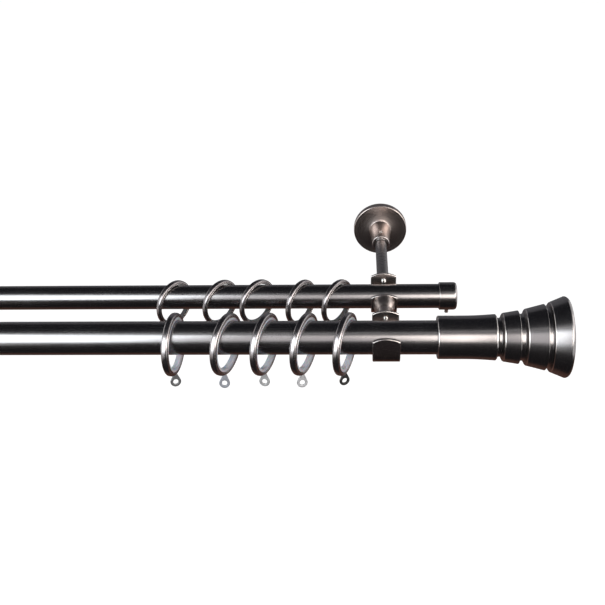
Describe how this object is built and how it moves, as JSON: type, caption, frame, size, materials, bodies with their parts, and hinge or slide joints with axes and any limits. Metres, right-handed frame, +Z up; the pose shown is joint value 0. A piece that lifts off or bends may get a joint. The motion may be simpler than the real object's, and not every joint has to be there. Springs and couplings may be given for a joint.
{
  "type": "double curtain pole",
  "caption": "Parallel front and rear metal tubes on stem wall brackets, with lined sliding rings and swivel eyelets, stepped flared finials in front and plain caps behind.",
  "frame": {"origin": "on the wall plane, at the middle of the right bracket's wall plate, on the bracket stem's axis", "axes": "+X along the tubes towards the right finial, +Y square into the wall, +Z up"},
  "size_m": [1.3544, 0.2116, 0.0701],
  "materials": {
    "tube_metal": "satin dark nickel plate",
    "finial_metal": "satin dark nickel plate, turned",
    "bracket_metal": "satin dark nickel plate, cast",
    "ring_metal": "bright dark nickel plate",
    "plate_steel": "zinc plated",
    "screw_steel": "bright zinc plated",
    "liner_plastic": "translucent nylon",
    "eyelet_metal": "satin nickel plate"
  },
  "bodies": {
    "pole_set": {"cup_link_left": "bracket_metal", "cup_link_right": "bracket_metal", "cup_screws_left": "screw_steel", "cup_screws_right": "screw_steel", "end_cap_left": "finial_metal", "end_cap_right": "finial_metal", "end_cap_screw_left": "screw_steel", "end_cap_screw_right": "screw_steel", "finial_left": "finial_metal", "finial_right": "finial_metal", "finial_screw_left": "screw_steel", "finial_screw_right": "screw_steel", "front_cup_left": "bracket_metal", "front_cup_right": "bracket_metal", "front_pole": "tube_metal", "lock_screws_left": "screw_steel", "lock_screws_right": "screw_steel", "rear_cup_left": "bracket_metal", "rear_cup_right": "bracket_metal", "rear_pole": "tube_metal", "rose_left": "bracket_metal", "rose_right": "bracket_metal", "rose_screw_left": "screw_steel", "rose_screw_right": "screw_steel", "stem_left": "bracket_metal", "stem_right": "bracket_metal", "wall_plate_left": "plate_steel", "wall_plate_right": "plate_steel"},
    "front_ring_1": {"front_ring_1": "ring_metal", "front_ring_liner_1": "liner_plastic"},
    "front_eyelet_1": {"front_ring_eyelet_1": "eyelet_metal"},
    "front_ring_2": {"front_ring_2": "ring_metal", "front_ring_liner_2": "liner_plastic"},
    "front_eyelet_2": {"front_ring_eyelet_2": "eyelet_metal"},
    "front_ring_3": {"front_ring_3": "ring_metal", "front_ring_liner_3": "liner_plastic"},
    "front_eyelet_3": {"front_ring_eyelet_3": "eyelet_metal"},
    "front_ring_4": {"front_ring_4": "ring_metal", "front_ring_liner_4": "liner_plastic"},
    "front_eyelet_4": {"front_ring_eyelet_4": "eyelet_metal"},
    "front_ring_5": {"front_ring_5": "ring_metal", "front_ring_liner_5": "liner_plastic"},
    "front_eyelet_5": {"front_ring_eyelet_5": "eyelet_metal"},
    "rear_ring_1": {"rear_ring_1": "ring_metal", "rear_ring_liner_1": "liner_plastic"},
    "rear_eyelet_1": {"rear_ring_eyelet_1": "eyelet_metal"},
    "rear_ring_2": {"rear_ring_2": "ring_metal", "rear_ring_liner_2": "liner_plastic"},
    "rear_eyelet_2": {"rear_ring_eyelet_2": "eyelet_metal"},
    "rear_ring_3": {"rear_ring_3": "ring_metal", "rear_ring_liner_3": "liner_plastic"},
    "rear_eyelet_3": {"rear_ring_eyelet_3": "eyelet_metal"},
    "rear_ring_4": {"rear_ring_4": "ring_metal", "rear_ring_liner_4": "liner_plastic"},
    "rear_eyelet_4": {"rear_ring_eyelet_4": "eyelet_metal"},
    "rear_ring_5": {"rear_ring_5": "ring_metal", "rear_ring_liner_5": "liner_plastic"},
    "rear_eyelet_5": {"rear_ring_eyelet_5": "eyelet_metal"}
  },
  "joints": [
    {"name": "front_ring_1_slide", "type": "slide", "parent": "pole_set", "child": "front_ring_1", "axis": [1, 0, 0], "range_m": [-0.9176, 0.0287]},
    {"name": "front_eyelet_1_swivel", "type": "hinge", "parent": "front_ring_1", "child": "front_eyelet_1", "pos_m": [-0.15774, -0.18521, -0.02872], "axis": [0.0189, 0.1379, 0.9903], "continuous": true},
    {"name": "front_ring_2_slide", "type": "slide", "parent": "pole_set", "child": "front_ring_2", "axis": [1, 0, 0], "range_m": [-0.0287, 0.0209]},
    {"name": "front_eyelet_2_swivel", "type": "hinge", "parent": "front_ring_2", "child": "front_eyelet_2", "pos_m": [-0.11987, -0.1873, -0.02821], "axis": [0.0804, 0.2282, 0.9703], "continuous": true},
    {"name": "front_ring_3_slide", "type": "slide", "parent": "pole_set", "child": "front_ring_3", "axis": [1, 0, 0], "range_m": [-0.0209, 0.0195]},
    {"name": "front_eyelet_3_swivel", "type": "hinge", "parent": "front_ring_3", "child": "front_eyelet_3", "pos_m": [-0.09024, -0.18506, -0.02868], "axis": [0.0449, 0.1317, 0.9903], "continuous": true},
    {"name": "front_ring_4_slide", "type": "slide", "parent": "pole_set", "child": "front_ring_4", "axis": [1, 0, 0], "range_m": [-0.0195, 0.0227]},
    {"name": "front_eyelet_4_swivel", "type": "hinge", "parent": "front_ring_4", "child": "front_eyelet_4", "pos_m": [-0.06165, -0.18654, -0.02839], "axis": [0.0711, 0.1954, 0.9781], "continuous": true},
    {"name": "front_ring_5_slide", "type": "slide", "parent": "pole_set", "child": "front_ring_5", "axis": [1, 0, 0], "range_m": [-0.0227, 0.0114]},
    {"name": "front_eyelet_5_swivel", "type": "hinge", "parent": "front_ring_5", "child": "front_eyelet_5", "pos_m": [-0.03043, -0.18393, -0.02882], "axis": [0.0269, 0.0829, 0.9962], "continuous": true},
    {"name": "rear_ring_1_slide", "type": "slide", "parent": "pole_set", "child": "rear_ring_1", "axis": [1, 0, 0], "range_m": [-0.902, 0.0272]},
    {"name": "rear_eyelet_1_swivel", "type": "hinge", "parent": "rear_ring_1", "child": "rear_eyelet_1", "pos_m": [-0.16663, -0.12304, -0.0235], "axis": [0.0402, 0.057, 0.9976], "continuous": true},
    {"name": "rear_ring_2_slide", "type": "slide", "parent": "pole_set", "child": "rear_ring_2", "axis": [1, 0, 0], "range_m": [-0.0272, 0.0209]},
    {"name": "rear_eyelet_2_swivel", "type": "hinge", "parent": "rear_ring_2", "child": "rear_eyelet_2", "pos_m": [-0.13019, -0.12348, -0.0231], "axis": [0.0654, 0.0816, 0.9945], "continuous": true},
    {"name": "rear_ring_3_slide", "type": "slide", "parent": "pole_set", "child": "rear_ring_3", "axis": [1, 0, 0], "range_m": [-0.0209, 0.0251]},
    {"name": "rear_eyelet_3_swivel", "type": "hinge", "parent": "rear_ring_3", "child": "rear_eyelet_3", "pos_m": [-0.10032, -0.12273, -0.0229], "axis": [0.0338, 0.0399, 0.9986], "continuous": true},
    {"name": "rear_ring_4_slide", "type": "slide", "parent": "pole_set", "child": "rear_ring_4", "axis": [1, 0, 0], "range_m": [-0.0251, 0.0201]},
    {"name": "rear_eyelet_4_swivel", "type": "hinge", "parent": "rear_ring_4", "child": "rear_eyelet_4", "pos_m": [-0.06608, -0.12332, -0.02356], "axis": [0.0482, 0.0726, 0.9962], "continuous": true},
    {"name": "rear_ring_5_slide", "type": "slide", "parent": "pole_set", "child": "rear_ring_5", "axis": [1, 0, 0], "range_m": [-0.0201, 0.0141]},
    {"name": "rear_eyelet_5_swivel", "type": "hinge", "parent": "rear_ring_5", "child": "rear_eyelet_5", "pos_m": [-0.03698, -0.12251, -0.02343], "axis": [0.0209, 0.028, 0.9994], "continuous": true}
  ]
}
